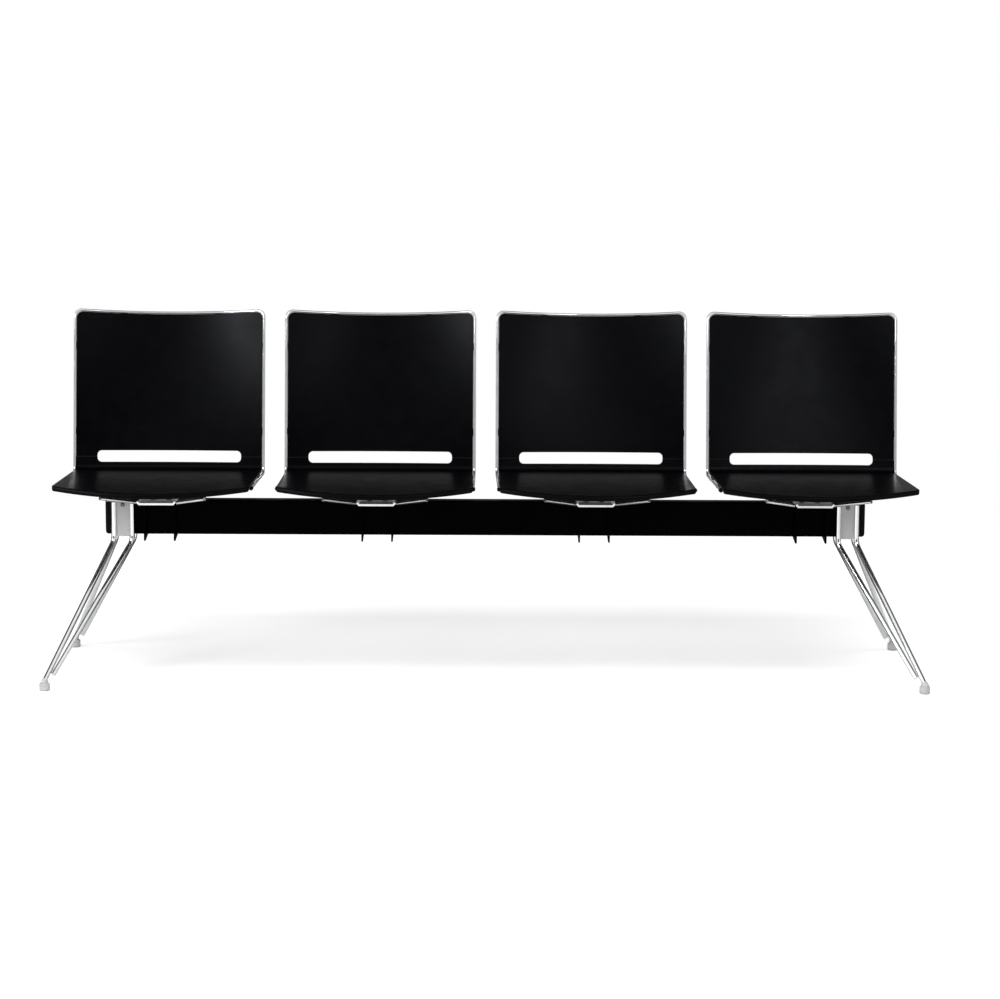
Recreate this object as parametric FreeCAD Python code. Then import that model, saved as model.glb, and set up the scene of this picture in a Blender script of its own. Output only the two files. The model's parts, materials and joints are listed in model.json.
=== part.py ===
import FreeCAD, Part
import math
import os

# A waiting bench: seats of two moulded panels on bent rod frames, carried by one beam on splayed rod legs.
# Sizes are in millimetres. X runs along the bench, the seats face -Y and Z is up from the floor.

# Bench layout
SEAT_COUNT = 4
SEAT_GAP = 60.0

# Beam, a rectangular steel tube
BEAM_DEPTH = 40.0
BEAM_HEIGHT = 80.0
BEAM_WALL = 2.5
BEAM_CORNER = 4.0
BEAM_UNDERSIDE = 319.5
BEAM_OVERHANG = 115.0

# Beam end caps
CAP_SKIRT = 4.0
CAP_DOME = 7.5
CAP_EDGE = 6.0
CAP_PLUG = 18.0
CAP_PLUG_WALL = 2.5
PLUG_CLEARANCE = 0.2

# Crease between seat and back, measured from the beam
CREASE_BEHIND_BEAM = 178.3
CREASE_ABOVE_BEAM = 44.0
CREASE_RADIUS = 12.0
CREASE_SAG = 5.0

# Moulded panels
PANEL_WIDTH = 440.0
PANEL_THICKNESS = 5.0
EDGE_ROUND = 1.2
PARTING_GAP = 0.6
TRIM_MARGIN = 10.0

# Seat panel: bowed and dished front with a turned-down lip
SEAT_DEPTH = 391.0
FRONT_BOW = 40.0
FRONT_RISE = 14.3
FRONT_DISH = 12.1
FRONT_CORNER = 4.0
LIP_SIDE = 11.4
LIP_MIDDLE = 11.4
LIP_RADIUS = 5.0
LIP_THICKNESS = 4.0
LIP_EDGE = 1.2
LIP_CORNER = 6.0

# Back panel: reclined, hollow towards the sitter, with a dipped top edge
BACK_RISE = 370.0
RECLINE = 8.0
TOP_SAG = 42.4
TOP_DIP = 10.0
BACK_CORNER = 13.0

# Hand slot, shared half and half by the two panels
SLOT_WIDTH = 340.0
SLOT_HEIGHT = 27.0
SLOT_CORNER = 10.5
SLOT_ABOVE_CREASE = 16.0

# Perimeter rod of each seat, which runs beside the edges of the back and under those of the seat
ROD_DIAMETER = 6.0
ROD_CLEARANCE = 0.4
ROD_FRONT_SETBACK = 45.0
ROD_DRAWN_IN = 2.4

# Sockets and snap clips moulded on the panels for the rod
SOCKET_WALL = 1.3
SOCKET_CLEARANCE = 0.3
SOCKET_LENGTH = 14.0
CLIP_WALL = 2.5
CLIP_ROOT = 6.0
CLIP_BITE = 1.2
CLIP_LENGTH = 16.0
SIDE_CLIPS_FROM_CREASE = (60.0, 230.0)
BACK_CLIPS_ABOVE_CREASE = (90.0, 290.0)
TOP_CLIP_OFFSET = 110.0

# Splayed arms from the tray to posts moulded under the seat panel
ARM_DIAMETER = 8.0
ARM_CLEARANCE = 0.3
ARM_RISE = 21.5
ARM_OUT = 117.4
FRONT_ARM_AHEAD = 94.0
FRONT_POST_SETBACK = 34.7
REAR_ARM_BEHIND = 74.0
REAR_POST_SETBACK = 49.0
WELD_GAP = 0.1
POST_LENGTH = 16.0
POST_WALL = 1.2
POST_SETBACK = 2.0

# Seat bracket: a tray that sits on the beam and two hooks that reach round its front
TRAY_WIDTH = 78.5
TRAY_THICKNESS = 5.0
TRAY_FLANGE = 6.0
TRAY_OVERLAP = 12.0
HOOK_SPACING = 68.6
HOOK_THICKNESS = 4.0
HOOK_AHEAD = 18.0
HOOK_TIP_DROP = 13.5
HOOK_HEEL_DROP = 5.5
HOOK_TIP_ROUND = 2.0
HOOK_CLEARANCE = 0.3

# Seat bolts
SEAT_BOLT_SPACING = 36.0
SEAT_BOLT_DIAMETER = 8.0
SEAT_BOLT_HEAD = 13.0
SEAT_BOLT_HEAD_HEIGHT = 8.0
SEAT_BOLT_SOCKET = 6.0
SEAT_BOLT_LENGTH = 20.0
HOLE_CLEARANCE = 0.2

# Legs
LEG_ROD_DIAMETER = 12.0
LEG_INSET = 29.6
LEG_TOP_DROP = 4.5
LEG_BEND_DROP = 14.5
LEG_BEND_RADIUS = 30.0
FOOT_OUT = 152.6
FOOT_REACH = 249.7
FOOT_AIM = 21.0
FOOT_ROD_LIFT = 15.0
INNER_ROD_LIFT = 37.0
CRADLE_WIDTH = 30.0
CRADLE_THICKNESS = 5.0
CRADLE_BEND = 4.0

# Leg screws
LEG_SCREW_DROP = 7.0
LEG_SCREW_DIAMETER = 6.0
LEG_SCREW_HEAD = 10.5
LEG_SCREW_HEAD_HEIGHT = 3.2
LEG_SCREW_SOCKET = 4.0
LEG_SCREW_LENGTH = 16.0

# Glides under the legs
GLIDE_BASE = 24.0
GLIDE_BASE_HEIGHT = 18.0
GLIDE_BASE_EDGE = 2.0
GLIDE_WALL = 1.5
GLIDE_SLEEVE = 12.0
GLIDE_CLEARANCE = 0.2

# Worked out from the sizes above
ROD_RADIUS = ROD_DIAMETER / 2
ARM_RADIUS = ARM_DIAMETER / 2
LEG_ROD_RADIUS = LEG_ROD_DIAMETER / 2
HALF_PANEL = PANEL_WIDTH / 2
SEAT_PITCH = PANEL_WIDTH + SEAT_GAP
BEAM_HALF_LENGTH = (SEAT_COUNT - 1) * SEAT_PITCH / 2 + BEAM_OVERHANG
BEAM_TOP = BEAM_UNDERSIDE + BEAM_HEIGHT
BEAM_FACE = BEAM_DEPTH / 2
CREASE_Y = CREASE_BEHIND_BEAM
CREASE_Z = BEAM_TOP + CREASE_ABOVE_BEAM
RECLINE_SLOPE = math.tan(math.radians(RECLINE))
BACK_TOP_Z = CREASE_Z + BACK_RISE
PARTING_Z = CREASE_Z + SLOT_ABOVE_CREASE + SLOT_HEIGHT / 2
ROD_OUT = ROD_CLEARANCE + ROD_RADIUS
ROD_DEPTH = PANEL_THICKNESS / 2
SEAT_ROD_DEPTH = PANEL_THICKNESS + ROD_OUT
ROD_X = HALF_PANEL + ROD_OUT
DIP_RADIUS = (HALF_PANEL ** 2 + TOP_DIP ** 2) / (2 * TOP_DIP)
SHORTEST_RUN = 0.001


def vec(x, y, z):
    return FreeCAD.Vector(x, y, z)


def unit(v):
    return v * (1.0 / v.Length)


def seat_positions():
    first = -(SEAT_COUNT - 1) * SEAT_PITCH / 2
    return [first + SEAT_PITCH * i for i in range(SEAT_COUNT)]


def moved(shape, x, y, z):
    copy = shape.copy()
    copy.translate(vec(x, y, z))
    return copy


def mirrored(shape, normal):
    return shape.mirror(vec(0, 0, 0), normal)


def corner_arc(before, corner, after, radius):
    """The arc of a radius that rounds a corner, as its start, middle and end points."""
    back = unit(before - corner)
    ahead = unit(after - corner)
    half = back.getAngle(ahead) / 2
    run = radius / math.tan(half)
    middle = unit(back + ahead) * (radius / math.sin(half) - radius)
    return corner + back * run, corner + middle, corner + ahead * run


def rounded_edges(points, radii, closed):
    """Straight runs through points, with an arc at each point that has a radius."""
    count = len(points)
    edges = []
    runs = []
    for i, point in enumerate(points):
        inside = closed or 0 < i < count - 1
        if inside and radii[i] > 0:
            start, middle, end = corner_arc(points[i - 1], point, points[(i + 1) % count], radii[i])
            runs.append((start, end))
            edges.append([Part.Arc(start, middle, end).toShape()])
        else:
            runs.append((point, point))
            edges.append([])
    path = []
    last = count if closed else count - 1
    for i in range(count):
        path.extend(edges[i])
        start = runs[i][1]
        end = runs[(i + 1) % count][0]
        if i < last and start.distanceToPoint(end) > SHORTEST_RUN:
            path.append(Part.LineSegment(start, end).toShape())
    return path


def rod_along(edges, diameter):
    """A round rod along straight runs and tangent arcs."""
    path = Part.Wire(edges)
    start = edges[0].valueAt(edges[0].FirstParameter)
    heading = edges[0].tangentAt(edges[0].FirstParameter)
    section = Part.Wire(Part.makeCircle(diameter / 2, start, heading))
    return path.makePipeShell([section], True, False)


def prism(points, radii, direction):
    """A flat closed outline with rounded corners, drawn out along a direction."""
    outline = Part.Wire(rounded_edges(points, radii, True))
    return Part.Face(outline).extrude(direction)


def placed(shape, origin, x_axis, y_axis):
    """A shape set down with its own X and Y axes along two square directions."""
    z_axis = x_axis.cross(y_axis)
    matrix = FreeCAD.Matrix(
        x_axis.x, y_axis.x, z_axis.x, origin.x,
        x_axis.y, y_axis.y, z_axis.y, origin.y,
        x_axis.z, y_axis.z, z_axis.z, origin.z,
        0, 0, 0, 1)
    copy = shape.copy()
    copy.Placement = FreeCAD.Placement(matrix)
    return copy


# Shape of the sitting surface

def middle_share(x):
    """1 on a seat's centre line, falling to 0 at its side edges."""
    return 1 - (x / HALF_PANEL) ** 2


def back_edge_y(z):
    return CREASE_Y + (z - CREASE_Z) * RECLINE_SLOPE


def back_sag(z):
    return CREASE_SAG + (TOP_SAG - CREASE_SAG) * (z - CREASE_Z) / BACK_RISE


def crease_point(x):
    return vec(x, CREASE_Y + CREASE_SAG * middle_share(x), CREASE_Z)


def front_point(x):
    share = middle_share(x)
    return vec(x, CREASE_Y - SEAT_DEPTH - FRONT_BOW * share, CREASE_Z + FRONT_RISE - FRONT_DISH * share)


def parting_point(x):
    return vec(x, back_edge_y(PARTING_Z) + back_sag(PARTING_Z) * middle_share(x), PARTING_Z)


def seat_top_z(x, y):
    crease = crease_point(x)
    front = front_point(x)
    return crease.z + (front.z - crease.z) * (crease.y - y) / (crease.y - front.y)


def top_edge_middle():
    low = BACK_TOP_Z - TOP_DIP
    return vec(0, back_edge_y(low) + back_sag(low), low)


# Panels

def slot_cutter():
    """The hand slot as a rounded bar through both panels."""
    reach = 4 * PANEL_THICKNESS + TOP_SAG
    low = CREASE_Z + SLOT_ABOVE_CREASE
    half = SLOT_WIDTH / 2
    corners = [(-half, low), (half, low), (half, low + SLOT_HEIGHT), (-half, low + SLOT_HEIGHT)]
    points = [vec(x, CREASE_Y - reach, z) for x, z in corners]
    return prism(points, [SLOT_CORNER] * 4, vec(0, 2 * reach, 0))


def seat_section(x):
    """The seat panel cut square to X: upturned rear, flat seat and turned-down lip."""
    parting = parting_point(x) - vec(0, 0, PARTING_GAP / 2)
    crease = crease_point(x)
    front = front_point(x)
    lip = LIP_SIDE + (LIP_MIDDLE - LIP_SIDE) * middle_share(x)
    rise = unit(parting - crease)
    run = unit(front - crease)
    turn = rise.getAngle(run)
    mitre = unit(rise + run) * (-PANEL_THICKNESS / math.sin(turn / 2))
    under_slope = run.z / run.y
    outer_crease = crease + mitre
    lip_inner_y = front.y + LIP_THICKNESS
    inner_z = outer_crease.z + (lip_inner_y - outer_crease.y) * under_slope
    points = [
        parting,
        crease,
        front,
        front - vec(0, 0, lip),
        vec(x, lip_inner_y, front.z - lip),
        vec(x, lip_inner_y, inner_z),
        outer_crease,
        parting + vec(0, PANEL_THICKNESS / math.cos(math.radians(RECLINE)), 0)]
    outer_radius = CREASE_RADIUS + PANEL_THICKNESS
    radii = [0, CREASE_RADIUS, LIP_RADIUS, LIP_EDGE, LIP_EDGE, LIP_EDGE, outer_radius, 0]
    return Part.Wire(rounded_edges(points, radii, True))


def seat_outline():
    """The seat's plan with rounded front corners, as a tall block."""
    corner = front_point(HALF_PANEL)
    slope = 2 * FRONT_BOW / HALF_PANEL
    nose = vec(0, corner.y - slope * HALF_PANEL, 0)
    rear = CREASE_Y + TOP_SAG + 4 * PANEL_THICKNESS
    points = [
        vec(-HALF_PANEL, rear, 0),
        vec(-HALF_PANEL, corner.y, 0),
        nose,
        vec(HALF_PANEL, corner.y, 0),
        vec(HALF_PANEL, rear, 0)]
    return prism(points, [0, FRONT_CORNER, 0, FRONT_CORNER, 0], vec(0, 0, 2 * CREASE_Z))


def rod_clip(origin, outward, away, depth):
    """A hook on the far face of a panel that cradles the rod, whose axis lies so deep from the near face."""
    inner = ROD_OUT + CLIP_ROOT
    near = PANEL_THICKNESS - depth - CLIP_BITE
    far = ROD_OUT + CLIP_WALL
    block = Part.makeBox(inner, far - near, CLIP_LENGTH, vec(-inner, near, -CLIP_LENGTH / 2))
    groove = Part.makeCylinder(ROD_OUT, 2 * CLIP_LENGTH, vec(0, 0, -CLIP_LENGTH))
    mouth = Part.makeBox(inner, inner, 2 * CLIP_LENGTH, vec(-ROD_OUT, -inner, -CLIP_LENGTH))
    return placed(block.cut([groove, mouth]), origin, outward, away)


def rod_socket():
    """A domed socket under the seat's edge that closes over the rod's front end."""
    bottom = side_rod_point(rod_front_y() - SOCKET_CLEARANCE)
    rearward = unit(side_rod_point(CREASE_Y) - bottom)
    bore_radius = ROD_RADIUS + SOCKET_CLEARANCE
    radius = bore_radius + SOCKET_WALL
    barrel = Part.makeCylinder(radius, SOCKET_LENGTH, bottom, rearward)
    dome = Part.makeSphere(radius, bottom, rearward * -1, 0, 90, 360)
    bore = Part.makeCylinder(bore_radius, 2 * SOCKET_LENGTH, bottom, rearward)
    return barrel.fuse(dome).removeSplitter().cut(bore)


def arm_post(inner_y, post_y):
    """A post under the seat that straddles the top of an arm near its end."""
    inner, end = arm_axis(inner_y, post_y)
    along = unit(end - inner)
    ahead = unit(vec(along.x, along.y, 0))
    half_width = ARM_RADIUS + ARM_CLEARANCE + POST_WALL
    outer = end - ahead * POST_SETBACK
    middle = outer - ahead * (POST_LENGTH / 2)
    rise = seat_top_z(middle.x, middle.y) - PANEL_THICKNESS + CLIP_BITE - end.z
    block = Part.makeBox(POST_LENGTH, 2 * half_width, rise, vec(-POST_LENGTH, -half_width, 0))
    block = placed(block, outer, ahead, vec(0, 0, 1).cross(ahead))
    length = 2 * (end - inner).Length
    return block.cut(Part.makeCylinder(ARM_RADIUS + ARM_CLEARANCE, length, inner, along))


def with_both_sides(panel, right_side_clips):
    """A panel joined to its clips on the right and to their mirror images on the left."""
    clips = []
    for clip in right_side_clips:
        clips.append(clip)
        clips.append(mirrored(clip, vec(1, 0, 0)))
    return panel.fuse(clips).removeSplitter()


def slot_front_edge(panel):
    """The long lower edge of the hand slot on the sitter's side."""
    level = CREASE_Z + SLOT_ABOVE_CREASE
    long_edges = [edge for edge in panel.Edges if SLOT_WIDTH / 2 < edge.Length < SLOT_WIDTH]
    along = [edge for edge in long_edges if all(abs(v.Z - level) < PARTING_GAP for v in edge.Vertexes)]
    return [min(along, key=lambda edge: edge.CenterOfMass.y)]


def lip_corner_cutter():
    """What is cut away to round the lip's lower corner on the right, as seen from the front."""
    corner = front_point(HALF_PANEL) - vec(0, LIP_CORNER, LIP_SIDE)
    slope = 2 * FRONT_DISH / HALF_PANEL
    reach = 4 * LIP_CORNER
    depth = vec(0, LIP_CORNER + LIP_THICKNESS + LIP_EDGE, 0)
    points = [
        corner - vec(reach, 0, reach * slope),
        corner,
        corner + vec(0, 0, reach),
        corner + vec(-reach, 0, reach)]
    kept = prism(points, [0, LIP_CORNER, 0, 0], depth)
    size = 2 * LIP_CORNER
    block = Part.makeBox(size, depth.y, size, corner - vec(LIP_CORNER, 0, LIP_CORNER))
    return block.cut(kept)


def make_seat_panel():
    reach = HALF_PANEL + TRIM_MARGIN
    sections = [seat_section(x) for x in (-reach, 0, reach)]
    panel = Part.makeLoft(sections, True, False)
    panel = panel.common(seat_outline()).cut(slot_cutter())
    panel = panel.makeFillet(EDGE_ROUND, slot_front_edge(panel))
    cutter = lip_corner_cutter()
    panel = panel.cut([cutter, mirrored(cutter, vec(1, 0, 0))])
    away = unit(vec(0, FRONT_RISE, SEAT_DEPTH)) * -1
    clips = []
    for distance in SIDE_CLIPS_FROM_CREASE:
        clips.append(rod_clip(side_rod_point(CREASE_Y - distance), vec(1, 0, 0), away, SEAT_ROD_DEPTH))
    clips.append(rod_socket())
    for inner_y, post_y in arm_places():
        clips.append(arm_post(inner_y, post_y))
    return with_both_sides(panel, clips)


def back_section(z):
    """A level cut through the back's slab, a little wider than the panel."""
    sag = back_sag(z)
    radius = (HALF_PANEL ** 2 + sag ** 2) / (2 * sag)
    reach = HALF_PANEL + TRIM_MARGIN
    end_y = back_edge_y(z) + sag - radius + math.sqrt(radius ** 2 - reach ** 2)
    left = vec(-reach, end_y, z)
    middle = vec(0, back_edge_y(z) + sag, z)
    right = vec(reach, end_y, z)
    depth = vec(0, PANEL_THICKNESS / math.cos(math.radians(RECLINE)), 0)
    return Part.Wire([
        Part.Arc(left, middle, right).toShape(),
        Part.LineSegment(right, right + depth).toShape(),
        Part.Arc(right + depth, middle + depth, left + depth).toShape(),
        Part.LineSegment(left + depth, left).toShape()])


def back_outline():
    """The back as seen from the front, with rounded top corners and a dipped top edge, as a deep block."""
    y = CREASE_Y - TOP_SAG
    low = PARTING_Z + PARTING_GAP / 2
    dip_centre = vec(0, y, BACK_TOP_Z - TOP_DIP + DIP_RADIUS)
    corner_x = HALF_PANEL - BACK_CORNER
    reach = DIP_RADIUS + BACK_CORNER
    corner_z = dip_centre.z - math.sqrt(reach ** 2 - corner_x ** 2)
    corner = vec(corner_x, y, corner_z)
    inward = unit(dip_centre - corner)
    side = vec(HALF_PANEL, y, corner_z)
    knee = corner + unit(inward + vec(1, 0, 0)) * BACK_CORNER
    top = corner + inward * BACK_CORNER
    flip = [vec(-p.x, p.y, p.z) for p in (side, knee, top)]
    edges = [
        Part.LineSegment(vec(-HALF_PANEL, y, low), vec(HALF_PANEL, y, low)).toShape(),
        Part.LineSegment(vec(HALF_PANEL, y, low), side).toShape(),
        Part.Arc(side, knee, top).toShape(),
        Part.Arc(top, vec(0, y, BACK_TOP_Z - TOP_DIP), flip[2]).toShape(),
        Part.Arc(flip[2], flip[1], flip[0]).toShape(),
        Part.LineSegment(flip[0], vec(-HALF_PANEL, y, low)).toShape()]
    return Part.Face(Part.Wire(edges)).extrude(vec(0, 4 * TOP_SAG, 0))


def front_rim(panel):
    """The edges round the front face of the back panel, without its parting line."""
    face = min(sorted(panel.Faces, key=lambda f: f.Area)[-2:], key=lambda f: f.CenterOfMass.y)
    return [edge for edge in face.Edges if max(v.Z for v in edge.Vertexes) > PARTING_Z + PARTING_GAP]


def make_back_panel():
    slab = Part.makeLoft([back_section(PARTING_Z - TRIM_MARGIN), back_section(BACK_TOP_Z + TRIM_MARGIN)], True, True)
    panel = slab.common(back_outline()).cut(slot_cutter())
    panel = panel.makeFillet(EDGE_ROUND, front_rim(panel))
    lower, upper = back_rod_line()
    along = unit(upper - lower)
    away = along.cross(vec(1, 0, 0))
    clips = []
    for rise in BACK_CLIPS_ABOVE_CREASE:
        share = (CREASE_Z + rise - lower.z) / (upper.z - lower.z)
        clips.append(rod_clip(lower + (upper - lower) * share, vec(1, 0, 0), away, ROD_DEPTH))
    clips.append(top_clip())
    return with_both_sides(panel, clips)


def top_clip():
    """The clip that holds the top run of the rod."""
    start, middle, end = top_rod_arc()
    circle = Part.Circle(start, middle, end)
    centre = circle.Center
    sag = unit(middle - centre)
    radius = circle.Radius
    origin = centre + vec(TOP_CLIP_OFFSET, 0, 0) + sag * math.sqrt(radius ** 2 - TOP_CLIP_OFFSET ** 2)
    away = unit(origin - centre)
    outward = vec(1, 0, 0).cross(sag) * -1
    if outward.z < 0:
        outward = outward * -1
    return rod_clip(origin, outward, away, ROD_DEPTH)


# Perimeter rod

def rod_front_y():
    return CREASE_Y - SEAT_DEPTH + ROD_FRONT_SETBACK


def side_rod_point(y):
    """A point of the rod's axis under the seat's right edge, drawn in a little towards the front."""
    slope = -FRONT_RISE / SEAT_DEPTH
    drop = SEAT_ROD_DEPTH * math.hypot(1, slope)
    share = (CREASE_Y - y) / (CREASE_Y - rod_front_y())
    return vec(ROD_X - ROD_DRAWN_IN * share, y, CREASE_Z + (y - CREASE_Y) * slope - drop)


def top_rod_arc():
    """The start, middle and end of the rod's top run, above the top edge of the back."""
    middle = top_edge_middle() + vec(0, ROD_DEPTH, ROD_OUT)
    run_radius = DIP_RADIUS - ROD_OUT
    end_z = middle.z + run_radius - math.sqrt(run_radius ** 2 - ROD_X ** 2)
    edge = vec(0, back_edge_y(end_z) + ROD_DEPTH, end_z)
    circle = Part.Circle(edge - vec(ROD_X, 0, 0), middle, edge + vec(ROD_X, 0, 0))
    reach = ROD_X - BACK_CORNER - ROD_RADIUS
    fall = unit(middle - edge) * math.sqrt(circle.Radius ** 2 - reach ** 2)
    start = circle.Center + fall - vec(reach, 0, 0)
    end = circle.Center + fall + vec(reach, 0, 0)
    return start, middle, end


def top_rod_corner():
    """Where the top run's end tangent meets the rod's right side."""
    start, middle, end = top_rod_arc()
    centre = Part.Circle(start, middle, end).Center
    spoke = unit(end - centre)
    normal = vec(1, 0, 0).cross(unit(middle - centre))
    tangent = normal.cross(spoke)
    return end + tangent * ((ROD_X - end.x) / tangent.x)


def back_rod_line():
    """The rod's right side beside the back, from its crease corner to its top corner."""
    upper = top_rod_corner()
    seat_slope = -FRONT_RISE / SEAT_DEPTH
    recline = vec(0, RECLINE_SLOPE, 1)
    start = side_rod_point(upper.y)
    rise = (upper.z - start.z) / (1 - seat_slope * RECLINE_SLOPE)
    lower = upper - recline * rise
    return side_rod_point(lower.y), upper


def make_frame_rod():
    lower, upper = back_rod_line()
    start, middle, end = top_rod_arc()
    tip = side_rod_point(rod_front_y())
    flip = [vec(-p.x, p.y, p.z) for p in (tip, lower, upper)]
    crease_bend = CREASE_RADIUS + ROD_DEPTH
    half_turn = (lower - upper).getAngle(end - upper) / 2
    corner_bend = (end - upper).Length * math.tan(half_turn)
    right = rounded_edges([tip, lower, upper, end], [0, crease_bend, corner_bend, 0], False)
    left = rounded_edges([start, flip[2], flip[1], flip[0]], [0, corner_bend, crease_bend, 0], False)
    top = Part.Arc(end, middle, start).toShape()
    return rod_along(right + [top] + left, ROD_DIAMETER)


# Arms

def arm_places():
    """Where the front and the rear arm leave the tray and where they end, along Y."""
    front_post = CREASE_Y - SEAT_DEPTH + FRONT_POST_SETBACK
    rear_post = CREASE_Y - REAR_POST_SETBACK
    return (-FRONT_ARM_AHEAD, front_post), (REAR_ARM_BEHIND, rear_post)


def arm_axis(inner_y, post_y):
    """Where a right-hand arm's axis leaves the tray's flange and where it ends."""
    inner = vec(TRAY_WIDTH / 2 + TRAY_FLANGE + WELD_GAP, inner_y, BEAM_TOP + ARM_RADIUS)
    return inner, vec(ARM_OUT, post_y, inner.z + ARM_RISE)


def make_arm(inner_y, post_y):
    """A right-hand arm, with its inner end cut flat where it meets the tray's flange."""
    inner, end = arm_axis(inner_y, post_y)
    along = unit(end - inner)
    spare = 3 * ARM_DIAMETER
    length = spare + (end - inner).Length
    arm = Part.makeCylinder(ARM_RADIUS, length, inner - along * spare, along)
    return arm.cut(Part.makeBox(2 * spare, 4 * spare, 4 * spare, inner - vec(2 * spare, 2 * spare, 2 * spare)))


# Seat bracket

def make_tray():
    """A flanged plate on the beam, from the front arms to the rear ones."""
    half = TRAY_WIDTH / 2
    bevel = TRAY_THICKNESS * math.sqrt(0.5)
    inset = TRAY_THICKNESS * math.tan(math.radians(22.5))
    right = [
        (half, 0),
        (half + TRAY_FLANGE, TRAY_FLANGE),
        (half + TRAY_FLANGE - bevel, TRAY_FLANGE + bevel),
        (half - inset, TRAY_THICKNESS)]
    left = [(-x, z) for x, z in reversed(right)]
    front = -FRONT_ARM_AHEAD - TRAY_OVERLAP
    rear = REAR_ARM_BEHIND + TRAY_OVERLAP
    points = [vec(x, front, BEAM_TOP + z) for x, z in right + left]
    tray = prism(points, [0] * len(points), vec(0, rear - front, 0))
    for x in (-SEAT_BOLT_SPACING / 2, SEAT_BOLT_SPACING / 2):
        tray = tray.cut(upright_hole(x, SEAT_BOLT_DIAMETER, BEAM_TOP, TRAY_THICKNESS))
    return tray


def upright_hole(x, diameter, base, depth):
    radius = diameter / 2 + HOLE_CLEARANCE
    return Part.makeCylinder(radius, 3 * depth, vec(x, 0, base - depth))


def make_hook(x):
    """A plate that hangs from the tray and hooks round the beam's front and underside."""
    front = -BEAM_FACE - HOOK_AHEAD
    inner = -BEAM_FACE - HOOK_CLEARANCE
    jaw = BEAM_UNDERSIDE - HOOK_CLEARANCE
    corners = [
        (front, BEAM_TOP),
        (inner, BEAM_TOP),
        (inner, jaw),
        (BEAM_FACE, jaw),
        (BEAM_FACE, BEAM_UNDERSIDE - HOOK_HEEL_DROP),
        (front, BEAM_UNDERSIDE - HOOK_TIP_DROP)]
    points = [vec(x - HOOK_THICKNESS / 2, y, z) for y, z in corners]
    return prism(points, [0, 0, 0, 0, HOOK_TIP_ROUND, HOOK_TIP_ROUND], vec(HOOK_THICKNESS, 0, 0))


def hex_socket(size, depth):
    """A six-sided key recess that points down from Z = 0."""
    corner = size / math.sqrt(3)
    points = []
    for i in range(6):
        turn = math.radians(60 * i)
        points.append(vec(corner * math.cos(turn), corner * math.sin(turn), 0))
    return prism(points, [0] * 6, vec(0, 0, -depth))


def make_seat_bolt():
    """A socket-head bolt that stands with the seat of its head at Z = 0."""
    shank = Part.makeCylinder(SEAT_BOLT_DIAMETER / 2, SEAT_BOLT_LENGTH, vec(0, 0, -SEAT_BOLT_LENGTH))
    head = Part.makeCylinder(SEAT_BOLT_HEAD / 2, SEAT_BOLT_HEAD_HEIGHT)
    socket = moved(hex_socket(SEAT_BOLT_SOCKET, SEAT_BOLT_HEAD_HEIGHT / 2), 0, 0, SEAT_BOLT_HEAD_HEIGHT)
    return shank.fuse(head).removeSplitter().cut(socket)


def make_seat_bolts():
    bolt = make_seat_bolt()
    bolts = []
    for seat_x in seat_positions():
        for side in (-1, 1):
            x = seat_x + side * SEAT_BOLT_SPACING / 2
            bolts.append(moved(bolt, x, 0, BEAM_TOP + TRAY_THICKNESS))
    return Part.makeCompound(bolts)


# Beam

def tube_section(inset, corner, x):
    """The beam's section at X, set in from its outer faces."""
    y = BEAM_FACE - inset
    low = BEAM_UNDERSIDE + inset
    high = BEAM_TOP - inset
    points = [vec(x, -y, low), vec(x, y, low), vec(x, y, high), vec(x, -y, high)]
    return Part.Wire(rounded_edges(points, [corner] * 4, True))


def tube_outline(inset, corner, x, length):
    """The beam's section drawn out along X from a place."""
    return Part.Face(tube_section(inset, corner, x)).extrude(vec(length, 0, 0))


def leg_positions():
    return (-(BEAM_HALF_LENGTH - LEG_INSET), BEAM_HALF_LENGTH - LEG_INSET)


def make_beam():
    length = 2 * BEAM_HALF_LENGTH
    beam = tube_outline(0, BEAM_CORNER, -BEAM_HALF_LENGTH, length)
    beam = beam.cut(tube_outline(BEAM_WALL, BEAM_CORNER - BEAM_WALL, -BEAM_HALF_LENGTH, length))
    for seat_x in seat_positions():
        for side in (-1, 1):
            x = seat_x + side * SEAT_BOLT_SPACING / 2
            beam = beam.cut(upright_hole(x, SEAT_BOLT_DIAMETER, BEAM_TOP - BEAM_WALL, BEAM_WALL))
    for leg_x in leg_positions():
        beam = beam.cut(leg_screw_hole(leg_x))
    return beam


def make_cap():
    """The right-hand end cap: a domed face over the tube's end and a hollow plug inside it."""
    skirt = tube_outline(0, BEAM_CORNER, BEAM_HALF_LENGTH, CAP_SKIRT)
    sections = []
    for degrees in (0, 30, 60, 90):
        turn = math.radians(degrees)
        x = BEAM_HALF_LENGTH + CAP_SKIRT + CAP_DOME * math.sin(turn)
        sections.append(tube_section(CAP_EDGE * (1 - math.cos(turn)), BEAM_CORNER, x))
    dome = skirt.fuse(Part.makeLoft(sections, True, False))
    inset = BEAM_WALL + PLUG_CLEARANCE
    corner = max(BEAM_CORNER - inset, PLUG_CLEARANCE)
    plug = tube_outline(inset, corner, BEAM_HALF_LENGTH - CAP_PLUG, CAP_PLUG)
    bore = tube_outline(inset + CAP_PLUG_WALL, corner, BEAM_HALF_LENGTH - CAP_PLUG, CAP_PLUG)
    return dome.fuse(plug.cut(bore)).removeSplitter()


# Legs

def leg_rod_y():
    return BEAM_FACE + LEG_ROD_RADIUS + WELD_GAP


def leg_rod_offset():
    return CRADLE_WIDTH / 2 + LEG_ROD_RADIUS + WELD_GAP


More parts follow.
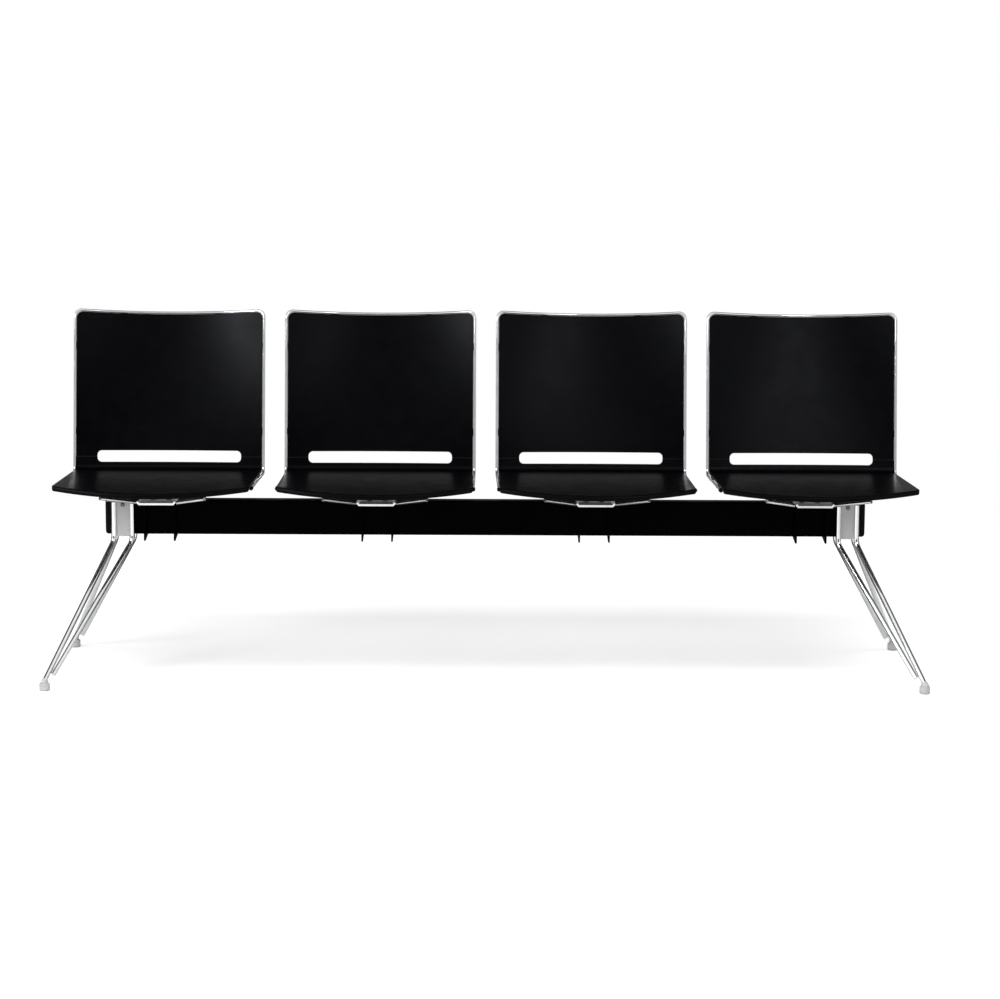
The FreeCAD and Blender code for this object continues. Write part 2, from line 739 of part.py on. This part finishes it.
def outer_rod_points(leg_x):
    """The right front leg's outer rod: its top, its bend and where its line meets the glide's axis."""
    x = leg_x + leg_rod_offset()
    top = vec(x, -leg_rod_y(), BEAM_TOP - LEG_TOP_DROP)
    bend = vec(x, -leg_rod_y(), BEAM_UNDERSIDE - LEG_BEND_DROP)
    return top, bend, vec(leg_x + FOOT_OUT, -FOOT_REACH, FOOT_AIM)


def point_at_height(start, end, height):
    return start + (end - start) * ((start.z - height) / (start.z - end.z))


def inner_rod_points(leg_x):
    """The inner rod, which runs down to lie against the outer one just above the glide."""
    x = leg_x - leg_rod_offset()
    top = vec(x, -leg_rod_y(), BEAM_TOP - LEG_TOP_DROP)
    bend = vec(x, -leg_rod_y(), BEAM_UNDERSIDE - LEG_BEND_DROP)
    outer_bend, foot = outer_rod_points(leg_x)[1:]
    along = unit(foot - outer_bend)
    across = bend - outer_bend
    across = unit(across - along * across.dot(along))
    beside = point_at_height(outer_bend, foot, INNER_ROD_LIFT)
    return top, bend, beside + across * (LEG_ROD_DIAMETER + WELD_GAP)


def make_outer_rod(leg_x):
    top, bend, foot = outer_rod_points(leg_x)
    end = point_at_height(bend, foot, FOOT_ROD_LIFT)
    return rod_along(rounded_edges([top, bend, end], [0, LEG_BEND_RADIUS, 0], False), LEG_ROD_DIAMETER)


def make_inner_rod(leg_x):
    points = inner_rod_points(leg_x)
    return rod_along(rounded_edges(points, [0, LEG_BEND_RADIUS, 0], False), LEG_ROD_DIAMETER)


def make_glide(leg_x):
    """An upright foot with a leaning sleeve for the outer rod's end."""
    bend, foot = outer_rod_points(leg_x)[1:]
    base = Part.makeCylinder(GLIDE_BASE / 2, GLIDE_BASE_HEIGHT, vec(foot.x, foot.y, 0))
    base = base.makeChamfer(GLIDE_BASE_EDGE, [base.Edges[0], base.Edges[2]])
    up = unit(bend - foot)
    sleeve_radius = LEG_ROD_RADIUS + GLIDE_CLEARANCE + GLIDE_WALL
    rod_end = point_at_height(bend, foot, FOOT_ROD_LIFT)
    sleeve = Part.makeCylinder(sleeve_radius, GLIDE_SLEEVE, rod_end, up)
    seat = Part.makeCylinder(LEG_ROD_RADIUS + GLIDE_CLEARANCE, 4 * GLIDE_SLEEVE,
                             rod_end - up * GLIDE_CLEARANCE, up)
    return base.fuse(sleeve).cut(seat).removeSplitter()


def make_cradle(leg_x):
    """The strap under the beam that joins the front and rear rods of a leg."""
    inner = BEAM_FACE
    outer = BEAM_FACE + CRADLE_THICKNESS
    top = BEAM_TOP - LEG_TOP_DROP
    low = BEAM_UNDERSIDE - CRADLE_THICKNESS
    corners = [
        (-outer, low), (outer, low), (outer, top), (inner, top),
        (inner, BEAM_UNDERSIDE), (-inner, BEAM_UNDERSIDE), (-inner, top), (-outer, top)]
    points = [vec(leg_x - CRADLE_WIDTH / 2, y, z) for y, z in corners]
    radii = [CRADLE_BEND, CRADLE_BEND, 0, 0, 0, 0, 0, 0]
    return prism(points, radii, vec(CRADLE_WIDTH, 0, 0)).cut(leg_screw_hole(leg_x))


def leg_screw_z():
    return BEAM_TOP - LEG_TOP_DROP - LEG_SCREW_DROP


def leg_screw_hole(leg_x):
    reach = BEAM_FACE + 2 * CRADLE_THICKNESS
    radius = LEG_SCREW_DIAMETER / 2 + HOLE_CLEARANCE
    return Part.makeCylinder(radius, 2 * reach, vec(leg_x, -reach, leg_screw_z()), vec(0, 1, 0))


def make_leg_screw():
    """A button-head screw that stands with the seat of its head at Z = 0."""
    shank = Part.makeCylinder(LEG_SCREW_DIAMETER / 2, LEG_SCREW_LENGTH, vec(0, 0, -LEG_SCREW_LENGTH))
    half = LEG_SCREW_HEAD / 2
    ball = (half ** 2 + LEG_SCREW_HEAD_HEIGHT ** 2) / (2 * LEG_SCREW_HEAD_HEIGHT)
    dome = Part.makeSphere(ball, vec(0, 0, LEG_SCREW_HEAD_HEIGHT - ball))
    head = dome.common(Part.makeCylinder(half, LEG_SCREW_HEAD_HEIGHT))
    socket = moved(hex_socket(LEG_SCREW_SOCKET, LEG_SCREW_HEAD_HEIGHT * 0.6), 0, 0, LEG_SCREW_HEAD_HEIGHT)
    return shank.fuse(head).removeSplitter().cut(socket)


def make_leg_screws():
    screw = make_leg_screw()
    screws = []
    for leg_x in leg_positions():
        for side in (-1, 1):
            face = vec(leg_x, side * (BEAM_FACE + CRADLE_THICKNESS), leg_screw_z())
            screws.append(placed(screw, face, vec(-side, 0, 0), vec(0, 0, 1)))
    return Part.makeCompound(screws)


# The whole bench

def seat_nodes():
    """The pieces of one seat, centred on X = 0, by name."""
    arm_front, arm_rear = [make_arm(inner_y, post_y) for inner_y, post_y in arm_places()]
    across = vec(1, 0, 0)
    return {
        "seat_panel": make_seat_panel(),
        "back_panel": make_back_panel(),
        "frame_rod": make_frame_rod(),
        "front_arm_right": arm_front,
        "front_arm_left": mirrored(arm_front, across),
        "rear_arm_right": arm_rear,
        "rear_arm_left": mirrored(arm_rear, across),
        "saddle_tray": make_tray(),
        "hook_plate_right": make_hook(HOOK_SPACING / 2),
        "hook_plate_left": make_hook(-HOOK_SPACING / 2)}


def leg_nodes():
    """The rods and glides of the right front leg, by name, with their mirror images."""
    leg_x = leg_positions()[1]
    front = {
        "outer_leg_rod": make_outer_rod(leg_x),
        "inner_leg_rod": make_inner_rod(leg_x),
        "glide": make_glide(leg_x)}
    nodes = {}
    for name, shape in front.items():
        rear = mirrored(shape, vec(0, 1, 0))
        nodes[name + "_right_front"] = shape
        nodes[name + "_right_rear"] = rear
        nodes[name + "_left_front"] = mirrored(shape, vec(1, 0, 0))
        nodes[name + "_left_rear"] = mirrored(rear, vec(1, 0, 0))
    return nodes


def bench_nodes():
    nodes = {}
    for name, shape in seat_nodes().items():
        for number, seat_x in enumerate(seat_positions(), 1):
            nodes[name + "_" + str(number)] = moved(shape, seat_x, 0, 0)
    nodes.update(leg_nodes())
    left_x, right_x = leg_positions()
    cap = make_cap()
    nodes["beam"] = make_beam()
    nodes["beam_cap_right"] = cap
    nodes["beam_cap_left"] = mirrored(cap, vec(1, 0, 0))
    nodes["leg_cradle_right"] = make_cradle(right_x)
    nodes["leg_cradle_left"] = make_cradle(left_x)
    nodes["seat_bolts"] = make_seat_bolts()
    nodes["leg_screws"] = make_leg_screws()
    return nodes


def plan_centre_y():
    """The middle of the bench's depth, from its front feet to the top of its backs."""
    front = -FOOT_REACH - GLIDE_BASE / 2
    middle = top_rod_arc()[1]
    return (front + middle.y + ROD_RADIUS) / 2


def main():
    os.makedirs("parts", exist_ok=True)
    shift = -plan_centre_y()
    for name, shape in bench_nodes().items():
        moved(shape, 0, shift, 0).exportStep("parts/" + name + ".step")


main()
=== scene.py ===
import json
import math

import bpy
from mathutils import Matrix, Vector

# A black four-seat bench on chrome rods, photographed from the front in a white studio.
# Lengths are in metres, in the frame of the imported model.

# Camera
CAMERA_PLACE = Vector((-0.0313, -6.4960, 1.3513))
CAMERA_DOWN = math.radians(8.334)
CAMERA_RIGHT = math.radians(0.567)
CAMERA_ROLL = math.radians(0.336)
CAMERA_LENS = 102.12
CAMERA_SENSOR = 36.0

# Floor, with the edges of its part under the bench, where a painted shade makes it dark in reflections
FLOOR_HALF_WIDTH = 2.6
FLOOR_FRONT = -4.5
FLOOR_REAR = 2.2
FLOOR_COLOR = (0.82, 0.82, 0.82, 1.0)
FLOOR_GLOW = 0.46
# Painted shade: the bench's shadow on the floor as reflections see it
PAINTED_SHADE_COLOR = (0.10, 0.10, 0.10, 1.0)
PAINTED_SHADE_FRONT = (-0.12, 0.04)
PAINTED_SHADE_SIDE = (0.82, 0.76)

# Studio all round
WHITE = (1.0, 1.0, 1.0, 1.0)
FILL_LIGHT = 0.45
FRONT_REFLECTION = 0.05
SIDE_REFLECTION = 0.95
DARK_REFLECTION = 0.09
BACK_REFLECTION = 0.22

# What reflections see of the studio, by how far a direction points from the camera's side to behind the bench
STUDIO_LEVELS = [
    (-0.93, FRONT_REFLECTION),
    (-0.84, SIDE_REFLECTION),
    (-0.42, SIDE_REFLECTION),
    (-0.20, DARK_REFLECTION),
    (0.50, DARK_REFLECTION),
    (0.75, BACK_REFLECTION)]

# Lamps, with power in watts and the beam's angle in degrees
FULL_BEAM = 180
OVERHEAD_PLACE = (0, -1.5, 3.2)
OVERHEAD_TARGET = (0, 0, 0.3)
OVERHEAD_SIZE = (5.0, 1.2)
OVERHEAD_POWER = 112
FRONT_LEFT_PLACE = (-3.32, -3.08, 2.15)
FRONT_LEFT_TARGET = (0, 0, 0.6)
FRONT_LEFT_SIZE = (1.2, 1.2)
FRONT_LEFT_POWER = 90
FRONT_RIGHT_PLACE = (1.3, -3.7, 2.3)
FRONT_RIGHT_TARGET = (0.55, 0.2, 0.65)
FRONT_RIGHT_SIZE = (0.9, 0.8)
FRONT_RIGHT_POWER = 0.9
FRONT_RIGHT_BEAM = 38

# Colours, linear
PLASTIC_DARK = (0.0003, 0.0003, 0.0005, 1.0)
PLASTIC_LIGHT = (0.0008, 0.0008, 0.0012, 1.0)
PLASTIC_SHEEN = (0.90, 0.93, 1.0, 1.0)
PAINT_DARK = (0.0002, 0.0002, 0.0003, 1.0)
PAINT_LIGHT = (0.0006, 0.0006, 0.0008, 1.0)
CHROME_DARK = (0.80, 0.81, 0.82, 1.0)
CHROME_LIGHT = (0.92, 0.92, 0.93, 1.0)
CRADLE_DARK = (0.50, 0.495, 0.49, 1.0)
CRADLE_LIGHT = (0.58, 0.575, 0.57, 1.0)
GLIDE_DARK = (0.60, 0.60, 0.59, 1.0)
GLIDE_LIGHT = (0.74, 0.74, 0.73, 1.0)
STEEL_DARK = (0.16, 0.16, 0.17, 1.0)
STEEL_LIGHT = (0.26, 0.26, 0.27, 1.0)

# Gloss of the plastics and paints
PANEL_GLOSS = 0.07
CAP_GLOSS = 0.08
PAINT_GLOSS = 0.015
CRADLE_GLOSS = 0.5
GLIDE_CLEARNESS = 0.35
GLIDE_IOR = 1.5

# Roughness of the smoothest and the roughest spots
PANEL_ROUGHNESS = (0.30, 0.36)
CAP_ROUGHNESS = (0.40, 0.50)
PAINT_ROUGHNESS = (0.34, 0.42)
CHROME_ROUGHNESS = (0.05, 0.11)
CRADLE_ROUGHNESS = (0.36, 0.46)
GLIDE_ROUGHNESS = (0.30, 0.42)
STEEL_ROUGHNESS = (0.24, 0.38)

# Radius of the edges that catch the light
PLASTIC_EDGE = 0.0008
PAINT_EDGE = 0.0008
CHROME_EDGE = 0.0006
STEEL_EDGE = 0.0005
EDGE_SAMPLES = 6

# Depth of the grain in the surfaces
FINE_GRAIN = 0.0001
GRAIN = 0.0002
COAT_GRAIN = 0.0003

# The values between which a noise changes a colour or a roughness
NOISE_LOW = 0.3
NOISE_HIGH = 0.7

# How noise is drawn out: not at all, up and down as on drawn rod, or from front to rear as on turned heads
EVEN = (1, 1, 1)
UPRIGHT = (1, 1, 0.2)
ENDWISE = (1, 0.2, 1)


class Surface:
    """A principled material with the few nodes that its patterns are made of."""

    def __init__(self, name):
        self.material = bpy.data.materials.new(name)
        self.material.use_nodes = True
        self.nodes = self.material.node_tree.nodes
        self.links = self.material.node_tree.links
        self.shader = self.nodes["Principled BSDF"]
        self.place = self.nodes.new("ShaderNodeTexCoord").outputs["Object"]
        self.normal = None

    def set(self, **values):
        """Sets sockets of the shader, each named with underscores for its spaces."""
        for name, value in values.items():
            self.shader.inputs[name.replace("_", " ")].default_value = value

    def noise(self, scale, detail, stretch=EVEN):
        """Noise with so many features to the metre, drawn out along an axis where stretch is small."""
        mapping = self.nodes.new("ShaderNodeMapping")
        mapping.inputs["Scale"].default_value = stretch
        texture = self.nodes.new("ShaderNodeTexNoise")
        texture.inputs["Scale"].default_value = scale
        texture.inputs["Detail"].default_value = detail
        self.links.new(self.place, mapping.inputs["Vector"])
        self.links.new(mapping.outputs["Vector"], texture.inputs["Vector"])
        return texture.outputs["Fac"]

    def cells(self, scale):
        """Small rounded cells, so many to the metre, as on a grained mould."""
        texture = self.nodes.new("ShaderNodeTexVoronoi")
        texture.feature = "SMOOTH_F1"
        texture.inputs["Scale"].default_value = scale
        self.links.new(self.place, texture.inputs["Vector"])
        return texture.outputs["Distance"]

    def color(self, pattern, dark, light):
        """A colour that follows a pattern from dark to light."""
        ramp = self.nodes.new("ShaderNodeValToRGB")
        ramp.color_ramp.elements[0].position = NOISE_LOW
        ramp.color_ramp.elements[0].color = dark
        ramp.color_ramp.elements[1].position = NOISE_HIGH
        ramp.color_ramp.elements[1].color = light
        self.links.new(pattern, ramp.inputs["Fac"])
        self.links.new(ramp.outputs["Color"], self.shader.inputs["Base Color"])

    def roughness(self, pattern, limits):
        """A roughness that follows a pattern between two limits."""
        spread = self.nodes.new("ShaderNodeMapRange")
        spread.inputs["From Min"].default_value = NOISE_LOW
        spread.inputs["From Max"].default_value = NOISE_HIGH
        spread.inputs["To Min"].default_value = limits[0]
        spread.inputs["To Max"].default_value = limits[1]
        self.links.new(pattern, spread.inputs["Value"])
        self.links.new(spread.outputs["Result"], self.shader.inputs["Roughness"])

    def soft_edges(self, radius):
        """Edges that catch the light as if they were rounded."""
        bevel = self.nodes.new("ShaderNodeBevel")
        bevel.samples = EDGE_SAMPLES
        bevel.inputs["Radius"].default_value = radius
        self.normal = bevel.outputs["Normal"]
        self.links.new(self.normal, self.shader.inputs["Normal"])

    def bump(self, pattern, strength, depth):
        """Grain that follows a pattern, on top of the edges and grain set before it."""
        node = self.nodes.new("ShaderNodeBump")
        node.inputs["Strength"].default_value = strength
        node.inputs["Distance"].default_value = depth
        self.links.new(pattern, node.inputs["Height"])
        if self.normal is not None:
            self.links.new(self.normal, node.inputs["Normal"])
        self.normal = node.outputs["Normal"]
        self.links.new(self.normal, self.shader.inputs["Normal"])


def panel_plastic():
    """Black moulded plastic with a fine matte grain."""
    s = Surface("panel_plastic")
    s.set(Specular_IOR_Level=PANEL_GLOSS, Specular_Tint=PLASTIC_SHEEN)
    s.color(s.noise(scale=60, detail=3), PLASTIC_DARK, PLASTIC_LIGHT)
    s.roughness(s.noise(scale=25, detail=4), PANEL_ROUGHNESS)
    s.soft_edges(PLASTIC_EDGE)
    s.bump(s.cells(scale=1500), strength=0.18, depth=GRAIN)
    s.bump(s.noise(scale=700, detail=3), strength=0.10, depth=GRAIN)
    return s.material


def cap_plastic():
    """Plain black plastic, a little rougher than the panels."""
    s = Surface("cap_plastic")
    s.set(Specular_IOR_Level=CAP_GLOSS)
    s.color(s.noise(scale=80, detail=3), PLASTIC_DARK, PLASTIC_LIGHT)
    s.roughness(s.noise(scale=40, detail=4), CAP_ROUGHNESS)
    s.bump(s.cells(scale=1800), strength=0.15, depth=GRAIN)
    return s.material


def black_paint(name):
    """Black powder coat with a faint orange peel."""
    s = Surface(name)
    s.set(Specular_IOR_Level=PAINT_GLOSS)
    s.color(s.noise(scale=90, detail=3), PAINT_DARK, PAINT_LIGHT)
    s.roughness(s.noise(scale=30, detail=4), PAINT_ROUGHNESS)
    s.soft_edges(PAINT_EDGE)
    s.bump(s.noise(scale=420, detail=2), strength=0.10, depth=COAT_GRAIN)
    return s.material


def chrome(name):
    """Bright plating over drawn rod: faint clouds and hairline marks."""
    s = Surface(name)
    s.set(Metallic=1.0)
    s.color(s.noise(scale=35, detail=4), CHROME_DARK, CHROME_LIGHT)
    s.roughness(s.noise(scale=160, detail=5, stretch=UPRIGHT), CHROME_ROUGHNESS)
    s.soft_edges(CHROME_EDGE)
    s.bump(s.noise(scale=260, detail=3), strength=0.01, depth=GRAIN)
    return s.material


def cradle_paint():
    """Pale grey satin coating with a fine sparkle in its tone."""
    s = Surface("cradle_paint")
    s.set(Specular_IOR_Level=CRADLE_GLOSS)
    s.color(s.noise(scale=900, detail=2), CRADLE_DARK, CRADLE_LIGHT)
    s.roughness(s.noise(scale=60, detail=4), CRADLE_ROUGHNESS)
    s.soft_edges(PAINT_EDGE)
    s.bump(s.noise(scale=500, detail=2), strength=0.08, depth=COAT_GRAIN)
    return s.material


def glide_plastic():
    """Clouded grey plastic that lets some light through."""
    s = Surface("glide_plastic")
    s.set(Transmission_Weight=GLIDE_CLEARNESS, IOR=GLIDE_IOR)
    s.color(s.noise(scale=120, detail=3), GLIDE_DARK, GLIDE_LIGHT)
    s.roughness(s.noise(scale=90, detail=3), GLIDE_ROUGHNESS)
    s.soft_edges(PLASTIC_EDGE)
    s.bump(s.noise(scale=700, detail=2), strength=0.06, depth=GRAIN)
    return s.material


def fastener_steel():
    """Zinc-plated steel with turned marks."""
    s = Surface("fastener_steel")
    s.set(Metallic=1.0)
    s.color(s.noise(scale=300, detail=3), STEEL_DARK, STEEL_LIGHT)
    s.roughness(s.noise(scale=500, detail=3, stretch=ENDWISE), STEEL_ROUGHNESS)
    s.soft_edges(STEEL_EDGE)
    s.bump(s.noise(scale=1200, detail=2), strength=0.05, depth=FINE_GRAIN)
    return s.material


def paint_nodes(frame):
    """Each CAD node gets the material of its slot in the record."""
    materials = {
        "panel_plastic": panel_plastic(),
        "cap_plastic": cap_plastic(),
        "rod_chrome": chrome("rod_chrome"),
        "leg_chrome": chrome("leg_chrome"),
        "tray_chrome": chrome("tray_chrome"),
        "hook_paint": black_paint("hook_paint"),
        "beam_paint": black_paint("beam_paint"),
        "cradle_paint": cradle_paint(),
        "glide_plastic": glide_plastic(),
        "fastener_steel": fastener_steel()}
    for entry in frame["record"]["subparts"]:
        node = frame["nodes"][entry["node"]]
        for place in node.material_slots:
            place.material = materials[entry["material_slot"]]


def soft_step(nodes, links, value, edge):
    """0 before the edge's first place and 1 after its second."""
    step = nodes.new("ShaderNodeMapRange")
    step.inputs["From Min"].default_value = edge[0]
    step.inputs["From Max"].default_value = edge[1]
    links.new(value, step.inputs["Value"])
    return step.outputs["Result"]


def painted_shade_under_bench(nodes, links):
    """1 under and behind the bench, between its legs, and 0 on the rest of the floor: the mask of the painted
    shade.
    """
    coords = nodes.new("ShaderNodeTexCoord")
    split = nodes.new("ShaderNodeSeparateXYZ")
    distance = nodes.new("ShaderNodeMath")
    distance.operation = "ABSOLUTE"
    both = nodes.new("ShaderNodeMath")
    both.operation = "MULTIPLY"
    links.new(coords.outputs["Object"], split.inputs["Vector"])
    links.new(split.outputs["X"], distance.inputs[0])
    links.new(soft_step(nodes, links, split.outputs["Y"], PAINTED_SHADE_FRONT), both.inputs[0])
    links.new(soft_step(nodes, links, distance.outputs["Value"], PAINTED_SHADE_SIDE), both.inputs[1])
    return both.outputs["Value"]


def floor_material():
    """White to the eye with the bench's shadow, and a painted shade under the bench in reflections."""
    material = bpy.data.materials.new("floor")
    material.use_nodes = True
    nodes = material.node_tree.nodes
    links = material.node_tree.links
    nodes.clear()
    path = nodes.new("ShaderNodeLightPath")
    share = nodes.new("ShaderNodeMath")
    share.operation = "MULTIPLY"
    # Painted shade: under the bench the floor's colour goes dark for glossy rays only, standing in for the
    # bench's shadow in reflections
    tone = nodes.new("ShaderNodeMix")
    tone.data_type = "RGBA"
    tone.inputs["A"].default_value = FLOOR_COLOR
    tone.inputs["B"].default_value = PAINTED_SHADE_COLOR
    diffuse = nodes.new("ShaderNodeBsdfDiffuse")
    links.new(painted_shade_under_bench(nodes, links), share.inputs[0])
    links.new(path.outputs["Is Glossy Ray"], share.inputs[1])
    links.new(share.outputs["Value"], tone.inputs["Factor"])
    links.new(tone.outputs["Result"], diffuse.inputs["Color"])
    glow = nodes.new("ShaderNodeEmission")
    strength = nodes.new("ShaderNodeMath")
    strength.operation = "MULTIPLY"
    strength.inputs[1].default_value = FLOOR_GLOW
    total = nodes.new("ShaderNodeAddShader")
    output = nodes.new("ShaderNodeOutputMaterial")
    links.new(path.outputs["Is Camera Ray"], strength.inputs[0])
    links.new(strength.outputs["Value"], glow.inputs["Strength"])
    links.new(diffuse.outputs["BSDF"], total.inputs[0])
    links.new(glow.outputs["Emission"], total.inputs[1])
    links.new(total.outputs["Shader"], output.inputs["Surface"])
    return material


def make_floor():
    """A plain pale floor, with a painted shade under the bench in reflections."""
    mesh = bpy.data.meshes.new("floor")
    corners = [
        (-FLOOR_HALF_WIDTH, FLOOR_FRONT, 0),
        (FLOOR_HALF_WIDTH, FLOOR_FRONT, 0),
        (FLOOR_HALF_WIDTH, FLOOR_REAR, 0),
        (-FLOOR_HALF_WIDTH, FLOOR_REAR, 0)]
    mesh.from_pydata(corners, [], [(0, 1, 2, 3)])
    floor = bpy.data.objects.new("floor", mesh)
    bpy.context.scene.collection.objects.link(floor)
    mesh.materials.append(floor_material())


def seen_in_mirror(path, nodes, links):
    """1 for rays from a gloss or through a clear piece, and 0 for rays that only light."""
    either = nodes.new("ShaderNodeMath")
    either.operation = "MAXIMUM"
    links.new(path.outputs["Is Glossy Ray"], either.inputs[0])
    links.new(path.outputs["Is Transmission Ray"], either.inputs[1])
    return either.outputs["Value"]


def reflected_studio(nodes, links):
    """Dark round the camera, bright to the front and sides, dark again further round, and softer behind."""
    coords = nodes.new("ShaderNodeTexCoord")
    split = nodes.new("ShaderNodeSeparateXYZ")
    share = nodes.new("ShaderNodeMapRange")
    share.inputs["From Min"].default_value = -1.0
    ramp = nodes.new("ShaderNodeValToRGB")
    elements = ramp.color_ramp.elements
    for place, level in STUDIO_LEVELS:
        element = elements.new((place + 1) / 2)
        element.color = (level, level, level, 1.0)
    elements.remove(elements[0])
    elements.remove(elements[-1])
    links.new(coords.outputs["Generated"], split.inputs["Vector"])
    links.new(split.outputs["Y"], share.inputs["Value"])
    links.new(share.outputs["Result"], ramp.inputs["Fac"])
    return ramp.outputs["Color"]


def make_world():
    """White to the eye all round, an even fill as light, and a studio of its own in reflections."""
    world = bpy.data.worlds.new("studio")
    world.use_nodes = True
    nodes = world.node_tree.nodes
    links = world.node_tree.links
    nodes.clear()
    path = nodes.new("ShaderNodeLightPath")
    mirror = nodes.new("ShaderNodeMix")
    mirror.inputs["A"].default_value = FILL_LIGHT
    links.new(seen_in_mirror(path, nodes, links), mirror.inputs["Factor"])
    links.new(reflected_studio(nodes, links), mirror.inputs["B"])
    eye = nodes.new("ShaderNodeMix")
    eye.inputs["B"].default_value = 1.0
    links.new(path.outputs["Is Camera Ray"], eye.inputs["Factor"])
    links.new(mirror.outputs["Result"], eye.inputs["A"])
    background = nodes.new("ShaderNodeBackground")
    background.inputs["Color"].default_value = WHITE
    output = nodes.new("ShaderNodeOutputWorld")
    links.new(eye.outputs["Result"], background.inputs["Strength"])
    links.new(background.outputs["Background"], output.inputs["Surface"])
    bpy.context.scene.world = world


def add_light(name, place, target, size, power, beam, mirrored):
    """A soft rectangular lamp that faces a point, and shows in reflections or not."""
    data = bpy.data.lights.new(name, "AREA")
    data.shape = "RECTANGLE"
    data.size = size[0]
    data.size_y = size[1]
    data.energy = power
    data.spread = math.radians(beam)
    lamp = bpy.data.objects.new(name, data)
    lamp.location = place
    aim = Vector(target) - Vector(place)
    lamp.rotation_euler = aim.to_track_quat("-Z", "Y").to_euler()
    lamp.visible_glossy = mirrored
    bpy.context.scene.collection.objects.link(lamp)


def make_lights():
    """A wide lamp above for the light and shadow, and two in front for the sheen on the backs."""
    add_light("overhead", OVERHEAD_PLACE, OVERHEAD_TARGET, OVERHEAD_SIZE,
              OVERHEAD_POWER, FULL_BEAM, mirrored=False)
    add_light("front_left", FRONT_LEFT_PLACE, FRONT_LEFT_TARGET, FRONT_LEFT_SIZE,
              FRONT_LEFT_POWER, FULL_BEAM, mirrored=True)
    add_light("front_right", FRONT_RIGHT_PLACE, FRONT_RIGHT_TARGET, FRONT_RIGHT_SIZE,
              FRONT_RIGHT_POWER, FRONT_RIGHT_BEAM, mirrored=True)


def make_camera():
    """The camera of the photo, fitted to points measured in it."""
    data = bpy.data.cameras.new("camera")
    data.sensor_fit = "HORIZONTAL"
    data.sensor_width = CAMERA_SENSOR
    data.lens = CAMERA_LENS
    camera = bpy.data.objects.new("camera", data)
    turn = Matrix.Rotation(-CAMERA_RIGHT, 4, "Z")
    tilt = Matrix.Rotation(math.pi / 2 - CAMERA_DOWN, 4, "X")
    roll = Matrix.Rotation(CAMERA_ROLL, 4, "Z")
    camera.matrix_world = Matrix.Translation(CAMERA_PLACE) @ turn @ tilt @ roll
    bpy.context.scene.collection.objects.link(camera)
    bpy.context.scene.camera = camera


with open("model.json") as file:
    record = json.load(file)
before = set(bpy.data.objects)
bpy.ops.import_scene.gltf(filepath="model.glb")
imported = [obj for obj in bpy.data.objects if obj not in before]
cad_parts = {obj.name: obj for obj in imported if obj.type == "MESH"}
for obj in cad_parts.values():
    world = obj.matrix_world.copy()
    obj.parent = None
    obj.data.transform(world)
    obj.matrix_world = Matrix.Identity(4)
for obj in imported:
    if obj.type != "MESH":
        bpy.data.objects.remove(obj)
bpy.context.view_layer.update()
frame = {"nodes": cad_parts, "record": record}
bpy.context.scene.view_settings.view_transform = "Standard"
paint_nodes(frame)
make_floor()
make_world()
make_lights()
make_camera()
